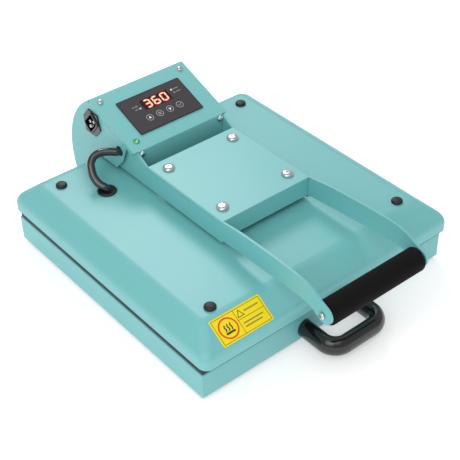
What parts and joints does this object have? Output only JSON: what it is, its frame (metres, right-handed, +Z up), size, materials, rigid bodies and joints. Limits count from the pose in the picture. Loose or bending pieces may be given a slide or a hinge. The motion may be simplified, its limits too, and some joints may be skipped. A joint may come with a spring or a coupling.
{
  "type": "heat press",
  "caption": "Clamshell heat press: flat base with pad, hinged arm frame with foam grip and sloping control box, floating heated platen under a folded cover, carry handle.",
  "frame": {"origin": "on the bench, under the middle of the whole press's box", "axes": "+Z up, +Y to the rear where the hinge is, -Y to the operator, +X to the operator's right"},
  "size_m": [0.4054, 0.527, 0.1787],
  "materials": {
    "mint_paint": "satin powder coat, fine orange peel",
    "zinc_screw": "bright zinc plate",
    "bare_steel": "plain drawn steel",
    "black_rubber": "matt moulded rubber",
    "silicone": "smooth matt silicone sheet",
    "black_plastic": "polished moulding",
    "lead_sleeve": "smooth glossy sleeve",
    "foam": "open-grain matt foam",
    "coated_aluminium": "black non-stick coat",
    "overlay_film": "smooth printed film",
    "key_film": "printed film key",
    "bronze": "sintered bronze",
    "circuit_board": "solder mask",
    "glass_wool": "matted fibre"
  },
  "bodies": {
    "base": {"base_shell": "mint_paint", "base_bottom_plate": "bare_steel", "torsion_spring": "bare_steel", "hinge_bracket_left": "bare_steel", "hinge_bracket_right": "bare_steel", "foot_front_left": "black_rubber", "foot_front_right": "black_rubber", "foot_rear_left": "black_rubber", "foot_rear_right": "black_rubber", "silicone_pad": "silicone", "carry_handle": "black_plastic", "hinge_shaft": "bare_steel"},
    "arm": {"arm_left": "mint_paint", "hinge_bush_left": "bronze", "grip_screw_left": "zinc_screw", "arm_right": "mint_paint", "hinge_bush_right": "bronze", "grip_screw_right": "zinc_screw", "channel_plate": "mint_paint", "grip_tube": "bare_steel", "foam_grip": "foam", "rear_tie": "bare_steel", "box_side_left": "mint_paint", "box_side_right": "mint_paint", "box_wrap": "mint_paint", "box_floor": "bare_steel", "front_panel": "mint_paint", "panel_screw_left": "zinc_screw", "lip_screw_left": "zinc_screw", "panel_screw_right": "zinc_screw", "lip_screw_right": "zinc_screw", "display_overlay": "overlay_film", "controller_board": "circuit_board", "solid_state_relay": "black_plastic", "power_inlet": "black_plastic", "rocker_frame": "black_plastic", "lead_gland": "black_rubber", "heater_lead": "lead_sleeve", "float_spring_front_left": "bare_steel", "float_spring_front_right": "bare_steel", "float_spring_rear_left": "bare_steel", "float_spring_rear_right": "bare_steel"},
    "platen": {"platen_cover": "mint_paint", "heat_platen": "coated_aluminium", "heating_element": "bare_steel", "insulation": "glass_wool", "lead_grommet": "black_rubber", "platen_bolt_front_left": "zinc_screw", "platen_bolt_front_right": "zinc_screw", "platen_bolt_rear_left": "zinc_screw", "platen_bolt_rear_right": "zinc_screw", "cover_plug_front_left": "black_rubber", "cover_plug_front_right": "black_rubber", "cover_plug_rear_left": "black_rubber", "cover_plug_rear_right": "black_rubber"},
    "key_up_press": {"key_up": "key_film"},
    "key_set_press": {"key_set": "key_film"},
    "key_down_press": {"key_down": "key_film"},
    "key_ok_press": {"key_ok": "key_film"},
    "rocker": {"power_rocker": "black_plastic"}
  },
  "joints": [
    {"name": "arm_open", "type": "hinge", "parent": "base", "child": "arm", "pos_m": [0, 0.24056, 0.0563], "axis": [-1, 0, 0], "range_deg": [0, 65], "stiffness_Nm_per_rad": 14, "springref_deg": 91.67},
    {"name": "platen_float", "type": "slide", "parent": "arm", "child": "platen", "axis": [0, 0, 1], "range_m": [0, 0.003], "stiffness_N_per_m": 12000, "springref_m": -0.004, "deforming": ["float_spring_front_left", "float_spring_front_right", "float_spring_rear_left", "float_spring_rear_right", "heater_lead"]},
    {"name": "power_switch", "type": "hinge", "parent": "arm", "child": "rocker", "pos_m": [0.0783, 0.20156, 0.1403], "axis": [0, 0, 1], "range_deg": [0, 20]},
    {"name": "key_up_travel", "type": "slide", "parent": "arm", "child": "key_up_press", "axis": [0, 0.3453, -0.9385], "range_m": [0, 0.0005], "stiffness_N_per_m": 600, "springref_m": -0.0005},
    {"name": "key_set_travel", "type": "slide", "parent": "arm", "child": "key_set_press", "axis": [0, 0.3453, -0.9385], "range_m": [0, 0.0005], "stiffness_N_per_m": 600, "springref_m": -0.0005},
    {"name": "key_down_travel", "type": "slide", "parent": "arm", "child": "key_down_press", "axis": [0, 0.3453, -0.9385], "range_m": [0, 0.0005], "stiffness_N_per_m": 600, "springref_m": -0.0005},
    {"name": "key_ok_travel", "type": "slide", "parent": "arm", "child": "key_ok_press", "axis": [0, 0.3453, -0.9385], "range_m": [0, 0.0005], "stiffness_N_per_m": 600, "springref_m": -0.0005}
  ]
}
